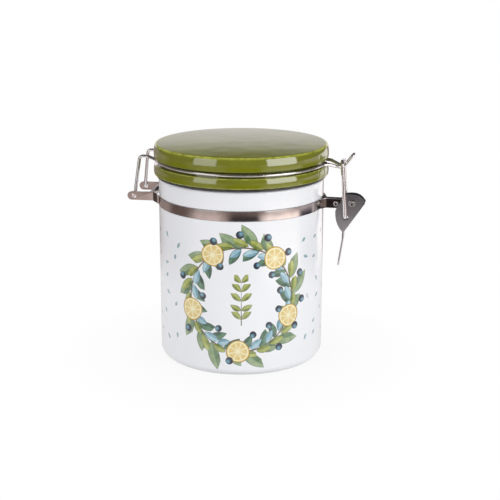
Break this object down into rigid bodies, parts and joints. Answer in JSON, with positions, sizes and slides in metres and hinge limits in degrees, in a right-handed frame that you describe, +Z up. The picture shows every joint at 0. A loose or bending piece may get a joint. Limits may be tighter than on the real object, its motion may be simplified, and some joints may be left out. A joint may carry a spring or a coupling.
{
  "type": "clip-top jar",
  "caption": "Round glazed ceramic canister with a flat lid, silicone seal, hinged wire bail and an over-centre lever clip that pulls the lid down onto its seal.",
  "frame": {"origin": "centre of the jar's flat base, on the jar's axis", "axes": "+Z up along the jar's axis, +X towards the latch, -X towards the hinge"},
  "size_m": [0.143, 0.1056, 0.1322],
  "materials": {
    "white_glaze": "glossy white glaze with a printed decal band",
    "green_glaze": "glossy olive green glaze",
    "silicone": "translucent grey silicone",
    "band_steel": "bright rolled stainless strip",
    "rivet_steel": "bright turned rivet",
    "wire_steel": "bright drawn wire",
    "lever_steel": "satin stamped sheet"
  },
  "bodies": {
    "jar": {"jar_body": "white_glaze", "front_band": "band_steel", "rear_band": "band_steel", "hinge_bridge": "band_steel", "clamp_rivet": "rivet_steel", "pivot_rivet": "rivet_steel"},
    "bail": {"lid_bail": "wire_steel"},
    "lid": {"lid": "green_glaze", "gasket": "silicone"},
    "lever": {"latch_lever": "lever_steel"},
    "loop": {"latch_loop": "wire_steel"}
  },
  "joints": [
    {"name": "lid_hinge", "type": "hinge", "parent": "jar", "child": "bail", "pos_m": [-0.0634, 0, 0.0992], "axis": [0, -1, 0], "range_deg": [0, 190]},
    {"name": "lid_turn", "type": "hinge", "parent": "bail", "child": "lid", "pos_m": [0, 0, 0.1209], "axis": [0, 0, 1], "continuous": true},
    {"name": "lever_pivot", "type": "hinge", "parent": "jar", "child": "lever", "pos_m": [0.0677, 0, 0.0971], "axis": [0, -1, 0], "range_deg": [0, 130]},
    {"name": "loop_pivot", "type": "hinge", "parent": "lever", "child": "loop", "pos_m": [0.0639, 0, 0.0885], "axis": [0, -1, 0], "range_deg": [-97, 0]}
  ],
  "couplings": [
    {"joint": "loop_pivot", "follows": "lever_pivot", "ratio": -0.73}
  ]
}
